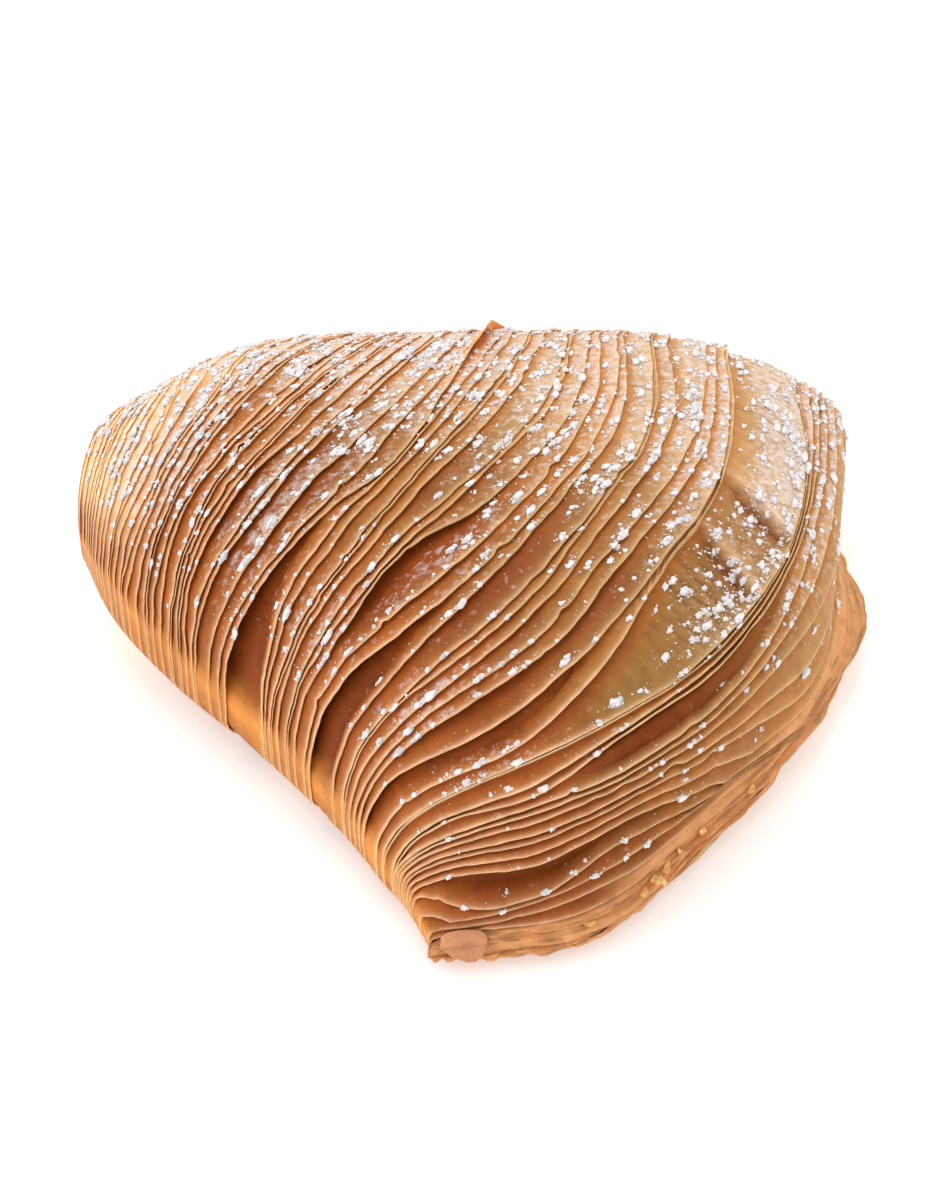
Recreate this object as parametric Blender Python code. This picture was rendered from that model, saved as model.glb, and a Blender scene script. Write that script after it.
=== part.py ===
"""A sfogliatella riccia: one shell-shaped pastry of thin leaves that fan out from a pinched flank.

The pastry is one closed solid in metres, +Z up, resting on its flat underside, with its origin at
the bottom centre of its bounding box. Every leaf is a ring round the filling: it starts at the
flank, rises over the crown, comes down at the far side and returns underneath. A ring's place is
its share, from 0 at the small closed lobe on the left to 1 at the mouth on the right. The free
edges face the mouth, so the surface drops behind each edge and climbs again to the next one.
"""

import math
from typing import NamedTuple

import bmesh
import bpy
import numpy as np

MM = 0.001

# How finely the solid is cut: facets round each ring, an even number.
RING_FACETS = 44

# A ring rises from its mid line to its crest, and dips to its lowest line, as a power of the sine
# of the turn: below 1 the curve is fuller than an ellipse.
CROWN_FULLNESS = 0.85
BELLY_FULLNESS = 0.60

# Depth behind the free edges, in millimetres.
LEAF_STEP = 0.6
GROOVE_DEPTH = 4.6
GROOVE_SHARE = 0.020  # a groove this wide, as a share, has about 63% of the full depth
BELLY_RELIEF = 0.5  # grooves underneath, against those on top
GROOVE_START_TURN = 0.22  # grooves deepen from the flank up to this turn of the ring
FLANK_DEPTH = 0.1  # at the flank itself, against the full depth
EDGE_SHARE = 0.0012  # the drop behind an edge takes this share

# The mouth takes this share after the last section. Across it the front face falls to the lower
# lip, in millimetres, and the lip swells outwards in a few places round its ring.
MOUTH_SHARE = 0.10
CORNER_START = 0.86  # the share from which the far corner of the mouth swells
LIP_CREST_Z = 5.5
LIP_FLANK_Z = 2.0
LIP_FAR_Z = 7.0
LIP_LOWEST_Z = 0.8
LIP_NOSE_INSET = 1.2
LIP_NOSE_SHARE = 0.012  # the share over which the lip's nose rounds off
THINNEST = 0.6  # no ring is thinner than this above or below its mid line

# One leaf curls up at the back of the crown, in millimetres and as turns of its ring.
CURL_HEIGHT = 2.0
CURL_TURN = 2.35
CURL_SPREAD = 0.35
CURLED_BUNDLE = 6  # the last leaf of this bundle, counting from 0, is the one that curls

# The small lobe closes in rings that shrink towards the left: share and inset in millimetres.
LOBE_END = ((-0.022, 5.0), (-0.016, 2.8), (-0.007, 1.0))
SHARP_EDGE = math.radians(35)

CRUST_COLOUR = (0.72, 0.36, 0.12, 1.0)
CRUST_ROUGHNESS = 0.55


class Swell(NamedTuple):
    """A place on the ring that swells outwards, or inwards where its reach is negative."""

    turn: float
    spread: float
    reach: float  # millimetres


FAR_CORNER = Swell(2.08, 0.26, 3.2)
LIP_SWELLS = (Swell(1.00, 0.28, 1.2), Swell(1.45, 0.22, -1.4), Swell(2.50, 0.24, 4.6))
FAR_RISE = 5.0  # millimetres by which the far side of the mouth is off the ground


class Section(NamedTuple):
    """One ring's course, in millimetres: plan points, and the heights that it runs at."""

    share: float
    flank: tuple  # x, y where the leaves are pinched together
    guide: tuple  # x, y that the ring bends towards on its way
    far: tuple  # x, y where the ring turns under at the far side
    flank_z: float
    far_z: float
    lowest_z: float
    crest_z: float


SECTIONS = (
    Section(0.00, (-57, 63), (-54, 76), (-45, 85), 14, 21, 8, 29),
    Section(0.12, (-52, 52), (-46, 75), (-27, 96), 16, 20, 4, 34),
    Section(0.28, (-41, 40), (-28, 66), (-2, 100), 12, 18, -1, 37),
    Section(0.44, (-28, 27), (-8, 46), (18, 101), 10, 18, -4, 40),
    Section(0.60, (-17, 14), (24, 22), (34, 101), 8, 18, -4, 41),
    Section(0.76, (-11, 5), (48, 6), (50, 96), 7, 17, -4, 36),
    Section(0.90, (-7, 0), (54, -1), (60, 89), 5, 15, -3, 27),
    Section(1.00, (-4, -6), (46, -9), (60, 79), 4, 11, -1, 14),
)


class Bundle(NamedTuple):
    """A bundle of leaves that ends in a groove: shares at the turns in BUNDLE_TURNS."""

    leaves: int
    edge: tuple  # the last leaf's free edge
    groove: tuple  # the groove behind it, up to the next bundle's first edge


BUNDLE_TURNS = (0.1, 0.5, 1.0, 1.5, 2.1)
BUNDLES = (
    Bundle(2, (0.045, 0.050, 0.048, 0.040, 0.030), (0.008, 0.008, 0.008, 0.008, 0.006)),
    Bundle(3, (0.125, 0.130, 0.137, 0.130, 0.100), (0.008, 0.010, 0.010, 0.008, 0.006)),
    Bundle(2, (0.158, 0.167, 0.180, 0.182, 0.160), (0.006, 0.012, 0.006, 0.008, 0.006)),
    Bundle(3, (0.232, 0.235, 0.240, 0.248, 0.245), (0.014, 0.011, 0.009, 0.013, 0.009)),
    Bundle(3, (0.296, 0.290, 0.298, 0.313, 0.315), (0.005, 0.008, 0.014, 0.006, 0.005)),
    Bundle(1, (0.318, 0.318, 0.328, 0.334, 0.333), (0.005, 0.008, 0.010, 0.012, 0.006)),
    Bundle(3, (0.368, 0.378, 0.403, 0.425, 0.405), (0.068, 0.052, 0.024, 0.006, 0.018)),
    Bundle(3, (0.470, 0.470, 0.472, 0.474, 0.475), (0.005, 0.007, 0.008, 0.006, 0.005)),
    Bundle(2, (0.505, 0.504, 0.503, 0.526, 0.530), (0.005, 0.009, 0.030, 0.008, 0.005)),
    Bundle(2, (0.533, 0.538, 0.555, 0.565, 0.568), (0.056, 0.045, 0.022, 0.012, 0.010)),
    Bundle(2, (0.635, 0.638, 0.638, 0.630, 0.632), (0.005, 0.009, 0.006, 0.014, 0.007)),
    Bundle(4, (0.690, 0.706, 0.721, 0.696, 0.693), (0.058, 0.058, 0.060, 0.020, 0.008)),
    Bundle(3, (0.820, 0.842, 0.866, 0.850, 0.822), (0.010, 0.030, 0.036, 0.050, 0.012)),
    Bundle(4, (0.915, 0.948, 0.962, 0.966, 0.955), (0.008, 0.016, 0.018, 0.016, 0.012)),
    Bundle(2, (0.985, 1.000, 1.000, 1.000, 1.045), (0.010, 0.018, 0.016, 0.020, 0.012)),
    Bundle(1, (1.020, 1.036, 1.034, 1.036, 1.065), (0.008, 0.012, 0.012, 0.014, 0.008)),
    Bundle(1, (1.050, 1.064, 1.064, 1.064, 1.080), (0.006, 0.010, 0.010, 0.010, 0.004)),
)


def clear_scene():
    for thing in list(bpy.data.objects):
        bpy.data.objects.remove(thing, do_unlink=True)


def crust_material():
    material = bpy.data.materials.new("baked_crust")
    material.use_nodes = True
    shader = material.node_tree.nodes["Principled BSDF"]
    shader.inputs["Base Color"].default_value = CRUST_COLOUR
    shader.inputs["Roughness"].default_value = CRUST_ROUGHNESS
    shader.inputs["Metallic"].default_value = 0.0
    return material


def smooth_between(knots, values, at):
    """A smooth curve through the values at the knots, carried on straight beyond both ends."""
    knots = np.asarray(knots, float)
    values = np.asarray(values, float)
    slopes = np.gradient(values, knots)
    inside = np.clip(at, knots[0], knots[-1])
    left = np.clip(np.searchsorted(knots, inside, side="right") - 1, 0, len(knots) - 2)
    step = knots[left + 1] - knots[left]
    t = (inside - knots[left]) / step
    curve = (
        (2 * t**3 - 3 * t**2 + 1) * values[left]
        + (t**3 - 2 * t**2 + t) * step * slopes[left]
        + (3 * t**2 - 2 * t**3) * values[left + 1]
        + (t**3 - t**2) * step * slopes[left + 1]
    )
    beyond = at - inside
    return curve + beyond * np.where(beyond < 0, slopes[0], slopes[-1])


def mirrored(turns):
    """Turns underneath, from pi to 2 pi, as the turns above them."""
    return np.minimum(turns, 2 * math.pi - turns)


def along_ring(values, turns):
    """A bundle's numbers at each turn of its ring; underneath they mirror those on top."""
    return np.interp(mirrored(turns), BUNDLE_TURNS, values)


def section_at(shares, field):
    knots = [section.share for section in SECTIONS]
    return smooth_between(knots, [getattr(section, field) for section in SECTIONS], shares)


def plan_point_at(shares, field):
    knots = [section.share for section in SECTIONS]
    points = np.array([getattr(section, field) for section in SECTIONS], float)
    return np.stack([smooth_between(knots, points[:, k], shares) for k in range(2)], axis=-1)


def across_mouth(lipless, at_lip, mouth):
    return lipless + (at_lip - lipless) * mouth


def swelling(swell, turns):
    return swell.reach * np.exp(-(((mirrored(turns) - swell.turn) / swell.spread) ** 2))


def ring(turns, shares, inset):
    """Points of one ring, in millimetres, drawn in by the inset. Shares above 1 are the mouth."""
    mouth = np.clip((shares - 1) / MOUTH_SHARE, 0, 1)
    corner = np.clip((shares - CORNER_START) / (1 - CORNER_START), 0, 1)
    shares = np.minimum(shares, 1.0)
    flank = plan_point_at(shares, "flank")
    guide = plan_point_at(shares, "guide")
    far = plan_point_at(shares, "far")
    span = np.linalg.norm(guide - flank, axis=-1) + np.linalg.norm(far - guide, axis=-1)
    across = (1 - (1 - 2 * inset / span) * np.cos(turns)) / 2
    c = across[:, None]
    plan = (1 - c) ** 2 * flank + 2 * c * (1 - c) * guide + c**2 * far
    heading = (1 - c) * (guide - flank) + c * (far - guide)
    heading /= np.linalg.norm(heading, axis=-1, keepdims=True)
    outwards = np.stack([heading[:, 1], -heading[:, 0]], axis=-1)
    reach = corner * (swelling(FAR_CORNER, turns) - inset)
    reach = reach + mouth * sum(swelling(swell, turns) for swell in LIP_SWELLS)
    plan = plan + outwards * reach[:, None]

    flank_z = across_mouth(section_at(shares, "flank_z"), LIP_FLANK_Z, mouth)
    far_z = across_mouth(section_at(shares, "far_z"), LIP_FAR_Z, mouth)
    crest_z = across_mouth(section_at(shares, "crest_z"), LIP_CREST_Z, mouth)
    lowest_z = across_mouth(section_at(shares, "lowest_z"), LIP_LOWEST_Z, mouth)
    lowest_z = lowest_z + FAR_RISE * corner * across
    mid_z = flank_z + (far_z - flank_z) * across
    rise = np.abs(np.sin(turns))
    upper = mid_z + np.maximum(crest_z - mid_z - inset, THINNEST) * rise**CROWN_FULLNESS
    lower = mid_z - np.maximum(mid_z - lowest_z - inset, THINNEST) * rise**BELLY_FULLNESS
    z = np.where(turns <= math.pi, upper, lower)
    return np.column_stack([plan, np.maximum(z, 0.0)])


def groove_depth(width, turns):
    """Wide grooves are deep; all run out at the flank, and are shallower underneath."""
    depth = GROOVE_DEPTH * (1 - np.exp(-width / GROOVE_SHARE))
    from_flank = np.clip(mirrored(turns) / GROOVE_START_TURN, 0, 1)
    depth *= FLANK_DEPTH + (1 - FLANK_DEPTH) * from_flank**2
    return depth * np.where(turns > math.pi, BELLY_RELIEF, 1.0)


def curl_inset(turns):
    """Negative where the curled leaf stands up above the crown."""
    return -CURL_HEIGHT * np.exp(-(((turns - CURL_TURN) / CURL_SPREAD) ** 2))


def lobe_rings(turns):
    return [ring(turns, np.full_like(turns, share), inset) for share, inset in LOBE_END]


def leaf_rings(turns):
    """Rings from the lobe to the lip: an edge, its drop and the next edge, bundle by bundle.

    Each leaf's edge is flush with the crown. Behind it the surface drops by a step, or into the
    bundle's groove, and climbs to the next edge.
    """
    rings = []
    start = np.zeros_like(turns)
    flush = np.zeros_like(turns)
    step = np.full_like(turns, LEAF_STEP)
    for number, bundle in enumerate(BUNDLES):
        last = along_ring(bundle.edge, turns)
        for leaf in range(1, bundle.leaves):
            part = (leaf - 1) / (bundle.leaves - 1)
            edge = start + (last - start) * part
            rings.append(ring(turns, edge, flush))
            rings.append(ring(turns, edge + EDGE_SHARE, step))
        rings.append(ring(turns, last, curl_inset(turns) if number == CURLED_BUNDLE else flush))
        width = along_ring(bundle.groove, turns)
        depth = groove_depth(width, turns)
        rings.append(ring(turns, last + EDGE_SHARE, depth))
        rings.append(ring(turns, last + width - EDGE_SHARE, depth))
        start = last + width
    nose = np.full_like(turns, 1 + MOUTH_SHARE)
    rings.append(ring(turns, nose - LIP_NOSE_SHARE, flush))
    rings.append(ring(turns, nose, np.full_like(turns, LIP_NOSE_INSET)))
    return rings


def close_end(mesh, loop, facing_mouth):
    """Fills an end ring with strips from its upper half to its lower half."""
    count = len(loop)
    for k in range(count // 2):
        corners = [loop[k], loop[k + 1], loop[-k - 1], loop[-k]]
        if k == 0:
            corners = [loop[0], loop[1], loop[-1]]
        elif k == count // 2 - 1:
            corners = [loop[k], loop[k + 1], loop[-k]]
        mesh.faces.new(corners if facing_mouth else corners[::-1])


def make_pastry():
    turns = np.arange(RING_FACETS) * (2 * math.pi / RING_FACETS)
    rings = np.array(lobe_rings(turns) + leaf_rings(turns))
    low = rings.min(axis=(0, 1))
    high = rings.max(axis=(0, 1))
    middle = np.array([(low[0] + high[0]) / 2, (low[1] + high[1]) / 2, low[2]])
    points = (rings - middle) * MM

    mesh = bmesh.new()
    loops = [[mesh.verts.new(point) for point in loop] for loop in points]
    for here, ahead in zip(loops, loops[1:]):
        for k in range(RING_FACETS):
            after = (k + 1) % RING_FACETS
            mesh.faces.new([here[k], here[after], ahead[after], ahead[k]])
    close_end(mesh, loops[0], facing_mouth=False)
    close_end(mesh, loops[-1], facing_mouth=True)
    bmesh.ops.recalc_face_normals(mesh, faces=mesh.faces)
    bmesh.ops.triangulate(mesh, faces=mesh.faces, quad_method="SHORT_EDGE")

    data = bpy.data.meshes.new("pastry")
    mesh.to_mesh(data)
    mesh.free()
    data.materials.append(crust_material())
    data.shade_smooth()
    data.set_sharp_from_angle(angle=SHARP_EDGE)
    pastry = bpy.data.objects.new("pastry", data)
    bpy.context.collection.objects.link(pastry)


clear_scene()
make_pastry()
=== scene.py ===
"""The looks of the sfogliatella: its leaves as thin shells, its sugar as grains, and its studio."""

import math
from typing import NamedTuple

import bpy
import numpy as np
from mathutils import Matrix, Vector


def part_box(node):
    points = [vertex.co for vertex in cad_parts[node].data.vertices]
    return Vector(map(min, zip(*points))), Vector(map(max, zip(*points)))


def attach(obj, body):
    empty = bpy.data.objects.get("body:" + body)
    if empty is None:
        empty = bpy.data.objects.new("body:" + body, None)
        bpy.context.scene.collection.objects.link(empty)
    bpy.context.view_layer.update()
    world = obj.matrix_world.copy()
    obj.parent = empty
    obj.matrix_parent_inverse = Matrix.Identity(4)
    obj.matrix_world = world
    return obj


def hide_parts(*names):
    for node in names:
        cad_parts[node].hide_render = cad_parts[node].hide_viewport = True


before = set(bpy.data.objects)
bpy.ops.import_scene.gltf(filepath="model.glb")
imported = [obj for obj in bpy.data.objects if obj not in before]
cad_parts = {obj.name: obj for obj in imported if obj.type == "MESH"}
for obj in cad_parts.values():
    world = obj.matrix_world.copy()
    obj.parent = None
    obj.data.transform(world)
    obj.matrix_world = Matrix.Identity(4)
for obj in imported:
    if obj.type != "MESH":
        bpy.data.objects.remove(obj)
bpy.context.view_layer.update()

MM = 0.001
SEED = 7

# Lengths are in millimetres, but in metres for the materials and the studio. A turn is the angle
# round a ring, from the flank up over the crown; a share is a place from lobe (0) to mouth (1).

# ==== The envelope: the same rings as the solid's ====

CROWN_FULLNESS = 0.85
BELLY_FULLNESS = 0.32
LOBE_SHARE = 0.030  # the lobe closes over this share before the first ring
LOBE_INSET = 6.0
MOUTH_SHARE = 0.10  # and over this one after the last ring the front face falls to the lip
NOSE_SHARE = 0.03  # and across this one the lip's nose rounds off
NOSE_REACH = 1.2
CORNER_START = 0.86
FAR_RISE = 5.0
LIP_CREST_Z = 5.5
LIP_FLANK_Z = 2.0
LIP_FAR_Z = 7.0
LIP_LOWEST_Z = 0.8
LEAST_HEIGHT = 0.3  # that a ring keeps above and below its own middle


class Swell(NamedTuple):
    """A place on the ring that swells outwards, or inwards where its reach is negative."""

    turn: float
    spread: float
    reach: float


FAR_CORNER = Swell(2.08, 0.26, 3.2)
LIP_SWELLS = (Swell(1.00, 0.28, 1.2), Swell(1.45, 0.22, -1.4), Swell(2.37, 0.19, 4.3))


class Section(NamedTuple):
    """One ring's course: plan points, and the heights that it runs at."""

    share: float
    flank: tuple
    guide: tuple
    far: tuple
    flank_z: float
    far_z: float
    lowest_z: float
    crest_z: float


SECTIONS = [Section(*row) for row in (
    (0.00, (-57, 63), (-54, 76), (-45, 85), 14, 21, 8, 29),
    (0.12, (-52, 52), (-46, 75), (-27, 96), 16, 20, 4, 34),
    (0.28, (-41, 40), (-28, 66), (-2, 100), 12, 18, 0, 37),
    (0.44, (-28, 27), (-8, 46), (18, 101), 10, 18, 0, 40),
    (0.60, (-17, 14), (24, 22), (34, 101), 8, 18, 0, 41),
    (0.76, (-11, 5), (48, 6), (50, 96), 7, 17, 0, 36),
    (0.90, (-7, 0), (54, -1), (60, 89), 5, 15, 0, 27),
    (1.00, (-4, -6), (46, -9), (60, 79), 4, 11, 0, 14),
)]
SECTIONS_LOW = (-57.052, -6.102)  # the solid's lowest x and y in the sections' own plan
BOX_LOW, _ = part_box("pastry")
ORIGIN = np.array([low / MM - least for low, least in zip(BOX_LOW, SECTIONS_LOW)] + [0])


def smooth_between(knots, values, at):
    """A smooth curve through the values at the knots, carried on straight beyond both ends."""
    knots, values = np.array(knots, float), np.array(values, float)
    slopes = np.gradient(values, knots)
    inside = np.clip(at, knots[0], knots[-1])
    left = np.clip(np.searchsorted(knots, inside, side="right") - 1, 0, len(knots) - 2)
    step = knots[left + 1] - knots[left]
    t = (inside - knots[left]) / step
    curve = (
        (2 * t**3 - 3 * t**2 + 1) * values[left]
        + (t**3 - 2 * t**2 + t) * step * slopes[left]
        + (3 * t**2 - 2 * t**3) * values[left + 1]
        + (t**3 - t**2) * step * slopes[left + 1]
    )
    beyond = at - inside
    return curve + beyond * np.where(beyond < 0, slopes[0], slopes[-1])


def section_at(shares, field, part=None):
    """A number of the sections, or one part of a plan point, at the shares."""
    values = [getattr(section, field) for section in SECTIONS]
    if part is not None:
        values = [value[part] for value in values]
    return smooth_between([section.share for section in SECTIONS], values, shares)


def mirrored(turns):
    """Turns underneath, from pi to 2 pi, as the turns above them."""
    return np.minimum(turns, 2 * math.pi - turns)


def bell(x, middle, spread):
    return np.exp(-(((x - middle) / spread) ** 2))


def portion(x, start, end):
    """From 0 at the start, evenly, to 1 at the end, which may be the lower of the two."""
    return np.clip((x - start) / (end - start), 0, 1)


def ramp(x, start, end):
    """The same, smooth at both."""
    t = portion(x, start, end)
    return t * t * (3 - 2 * t)


def swelling(swell, turns):
    return swell.reach * bell(mirrored(turns), swell.turn, swell.spread)


def envelope(shares, turns, inset):
    """Points in the row frame, in metres, of rings drawn in by inset millimetres.

    Shares below 0 close the lobe, shares above 1 are the mouth, and the last ones its nose.
    """
    shares, turns, inset = np.broadcast_arrays(shares, turns, inset)
    before = np.clip(-shares / LOBE_SHARE, 0, 1)
    mouth = np.clip((shares - 1) / MOUTH_SHARE, 0, 1)
    nose = np.clip((shares - 1 - MOUTH_SHARE) / NOSE_SHARE, 0, 1)
    corner = np.clip((shares - CORNER_START) / (1 - CORNER_START), 0, 1)
    inset = inset + LOBE_INSET * (1 - np.sqrt(1 - before**2))
    shares = np.minimum(shares, 1.0)

    course = ("flank", "guide", "far")
    flank, guide, far = ([section_at(shares, field, k) for k in range(2)] for field in course)
    span = np.hypot(guide[0] - flank[0], guide[1] - flank[1])
    span = span + np.hypot(far[0] - guide[0], far[1] - guide[1])
    c = (1 - (1 - 2 * inset / span) * np.cos(turns)) / 2
    plan = [(1 - c) ** 2 * f + 2 * c * (1 - c) * g + c**2 * h for f, g, h in zip(flank, guide, far)]
    heading = [(1 - c) * (g - f) + c * (h - g) for f, g, h in zip(flank, guide, far)]
    reach = corner * (swelling(FAR_CORNER, turns) - inset) + NOSE_REACH * nose
    reach = reach + mouth * sum(swelling(swell, turns) for swell in LIP_SWELLS)
    reach = reach / np.hypot(heading[0], heading[1])
    x = plan[0] + heading[1] * reach
    y = plan[1] - heading[0] * reach

    def at_mouth(field, at_lip):
        lipless = section_at(shares, field)
        return lipless + (at_lip - lipless) * mouth

    flank_z = at_mouth("flank_z", LIP_FLANK_Z)
    mid_z = flank_z + (at_mouth("far_z", LIP_FAR_Z) - flank_z) * c
    lowest_z = np.maximum(at_mouth("lowest_z", LIP_LOWEST_Z), 0) + FAR_RISE * corner * c
    rise = np.abs(np.sin(turns))
    above = np.maximum(at_mouth("crest_z", LIP_CREST_Z) - mid_z - inset, LEAST_HEIGHT)
    below = np.maximum(mid_z - lowest_z - inset, LEAST_HEIGHT)
    closing = np.sqrt(1 - nose**2)
    upper = mid_z + above * rise**CROWN_FULLNESS * closing
    lower = mid_z - below * rise**BELLY_FULLNESS * closing
    z = np.where(turns <= math.pi, upper, lower)
    return (np.stack([x, y, z], axis=-1) + ORIGIN) * MM


# ==== The leaves ====

LEAF_THICKNESS = 0.38
TOP_STEPS = 212
OPEN_STEPS = 172
OPEN_TURN = 2.3
BELLY_STEPS = 40
EDGE_GAP = 0.0042  # the least share between two free edges
FIRST_BACK = -0.029  # share at which the first leaf starts, at the end of the lobe
FIRST_EDGE = -0.022  # and share of its free edge
JITTER = 0.22  # how far an edge strays, as a part of the way to the next one
WANDER = 0.0026  # how far, as a share, the leaves of a group stray together
WANDER_WAVES = (5, 9, 14, 23)
FRAY = 0.0010  # and how far each free edge is uneven by itself
FRAY_WAVES = (19, 33, 57, 91)
MOST_CHIPS = 3
CHIP_SPREADS = (0.010, 0.030)  # in turns
CHIP_DEPTHS = (0.001, 0.004)  # in shares
CHIP_TURNS = (0.3, 2.9)
OCTAVE_FADE = 0.75  # each octave of a ripple, as a part of the one before
UNEVEN_WAVES = 0.6  # how unevenly a ripple's waves stand


class Group(NamedTuple):
    """Leaves whose free edges stand together; in thousandths of a share, at GROUP_TURNS."""

    leaves: int
    edge: tuple  # the last leaf's free edge
    gap: tuple  # from it to the next group's first edge
    floor: float = 0.0  # how much of the gap stays deep before the next leaf rises


THOUSANDTHS = 1000
GROUP_TURNS = (0.1, 0.5, 0.8, 1.15, 1.5, 2.1, 2.6)  # gaps have no number for the last one
GROUPS = [Group(*row) for row in (
    (6, (45, 50, 50, 50, 40, 30, 30), (8, 10, 10, 8, 8, 6)),
    (6, (125, 132, 138, 140, 125, 90, 90), (6, 6, 9, 9, 6, 6)),
    (3, (158, 166, 176, 178, 180, 150, 150), (4, 12, 10, 6, 7, 5)),
    (4, (213, 214, 217, 217, 217, 210, 210), (4, 4, 4, 6, 6, 5)),
    (2, (230, 232, 235, 241, 248, 248, 240), (16, 11, 7, 6, 12, 8), 0.4),
    (2, (262, 262, 263, 262, 268, 268, 256), (4, 4, 5, 4, 4, 4)),
    (2, (280, 274, 275, 283, 290, 290, 274), (3, 7, 8, 8, 4, 4)),
    (2, (296, 289, 293, 300, 313, 313, 293), (3, 7, 10, 14, 5, 4), 0.3),
    (1, (310, 308, 320, 329, 333, 333, 309), (6, 10, 7, 11, 12, 6), 0.3),
    (2, (340, 348, 360, 369, 378, 370, 342), (4, 7, 9, 8, 3, 4)),
    (1, (357, 368, 383, 398, 406, 390, 356), (4, 4, 4, 4, 6, 4)),
    (1, (368, 378, 391, 409, 428, 402, 362), (70, 52, 32, 16, 4, 16), 0.8),
    (3, (452, 457, 456, 456, 455, 450, 414), (3, 5, 4, 4, 5, 4)),
    (2, (470, 468, 468, 470, 474, 470, 434), (3, 7, 9, 9, 6, 4)),
    (1, (486, 484, 486, 487, 497, 504, 463), (3, 7, 7, 9, 8, 6)),
    (2, (503, 503, 503, 500, 526, 530, 492), (4, 9, 10, 30, 6, 4), 0.3),
    (1, (522, 523, 530, 543, 548, 549, 503), (3, 6, 4, 4, 4, 4)),
    (1, (532, 537, 549, 562, 565, 568, 526), (56, 46, 30, 15, 12, 10), 0.8),
    (2, (615, 610, 608, 610, 608, 608, 572), (3, 3, 10, 13, 6, 4), 0.2),
    (2, (635, 637, 638, 638, 628, 632, 597), (4, 10, 7, 6, 15, 6), 0.2),
    (1, (655, 656, 656, 660, 648, 660, 649), (3, 4, 9, 9, 5, 6), 0.2),
    (1, (672, 671, 676, 681, 664, 675, 663), (4, 14, 13, 9, 8, 4), 0.3),
    (1, (690, 705, 726, 713, 696, 698, 675), (56, 52, 50, 30, 10, 4), 0.7),
    (2, (775, 790, 805, 812, 820, 819, 785), (4, 4, 4, 4, 5, 5)),
    (2, (820, 836, 856, 838, 838, 830, 810), (4, 4, 4, 4, 4, 4)),
    (1, (828, 847, 877, 848, 846, 838, 826), (8, 30, 14, 50, 48, 16), 0.7),
    (7, (912, 946, 964, 957, 985, 1090, 1010), (12, 46, 36, 22, 12, 6), 0.5),
    (2, (960, 1016, 1014, 1000, 1000, 1096, 1040), (10, 18, 18, 16, 20, 12), 0.3),
    (1, (1000, 1042, 1040, 1034, 1036, 1101, 1060), (8, 12, 12, 12, 14, 8), 0.3),
    (1, (1050, 1064, 1070, 1076, 1080, 1106, 1078), (6, 10, 10, 10, 10, 4), 0.3),
)]


def ring_turns():
    """Turns round a leaf, closer together on the part of the crust that lies open."""
    open_part = np.linspace(0, OPEN_TURN, OPEN_STEPS, endpoint=False)
    far_part = np.linspace(OPEN_TURN, math.pi, TOP_STEPS - OPEN_STEPS, endpoint=False)
    top = np.concatenate([open_part, far_part])
    belly = math.pi + np.linspace(0, math.pi, BELLY_STEPS, endpoint=False)
    return np.concatenate([top, belly])


def along_ring(values, turns):
    """A group's numbers at each turn of its ring, mirrored underneath, as shares."""
    knots = GROUP_TURNS[: len(values)]
    at = np.clip(mirrored(turns), knots[0], knots[-1])
    return smooth_between(knots, np.array(values) / THOUSANDTHS, at)


def ripple(rng, turns, waves):
    """A smooth random line round the ring, about 1 at its highest, in octaves of waves."""
    line = np.zeros_like(turns)
    for k, count in enumerate(waves):
        phase = rng.uniform(0, 2 * math.pi)
        uneven = UNEVEN_WAVES * np.sin(turns * 2 + phase)
        line += OCTAVE_FADE**k * np.sin(count * turns + phase + uneven)
    return line / sum(OCTAVE_FADE**k for k in range(len(waves)))


class Leaf(NamedTuple):
    group: int
    last: bool  # of its group
    back: np.ndarray  # share of the free edge behind it, towards the lobe
    edge: np.ndarray  # share of its own free edge
    floor: float


def chips(rng, turns):
    """Small notches broken out of a free edge, as shares to take off it."""
    line = np.zeros_like(turns)
    for _ in range(rng.integers(0, MOST_CHIPS + 1)):
        spread = rng.uniform(*CHIP_SPREADS)
        line += rng.uniform(*CHIP_DEPTHS) * bell(turns, rng.uniform(*CHIP_TURNS), spread)
    return line


def lay_leaves(turns, rng):
    """All leaves, from the lobe to the mouth."""
    leaves = []
    start = np.full_like(turns, FIRST_EDGE)
    edge_behind = np.full_like(turns, FIRST_BACK)
    floor = 0.0
    for number, group in enumerate(GROUPS):
        last = along_ring(group.edge, turns)
        astray = WANDER * ripple(rng, turns, WANDER_WAVES)
        for k in range(group.leaves):
            part = k / (group.leaves - 1) if group.leaves > 1 else 1.0
            jitter = 0.0 if k in (0, group.leaves - 1) else rng.uniform(-JITTER, JITTER)
            part += jitter / max(group.leaves - 1, 1)
            edge = start + (last - start) * part if group.leaves > 1 else last
            edge = edge + astray + FRAY * ripple(rng, turns, FRAY_WAVES)
            edge = np.maximum(edge - chips(rng, turns), edge_behind + EDGE_GAP)
            leaves.append(Leaf(number, k == group.leaves - 1, edge_behind, edge, floor))
            edge_behind = edge
            floor = 0.0
        start = last + along_ring(group.gap, turns)
        floor = group.floor
    return leaves


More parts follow.
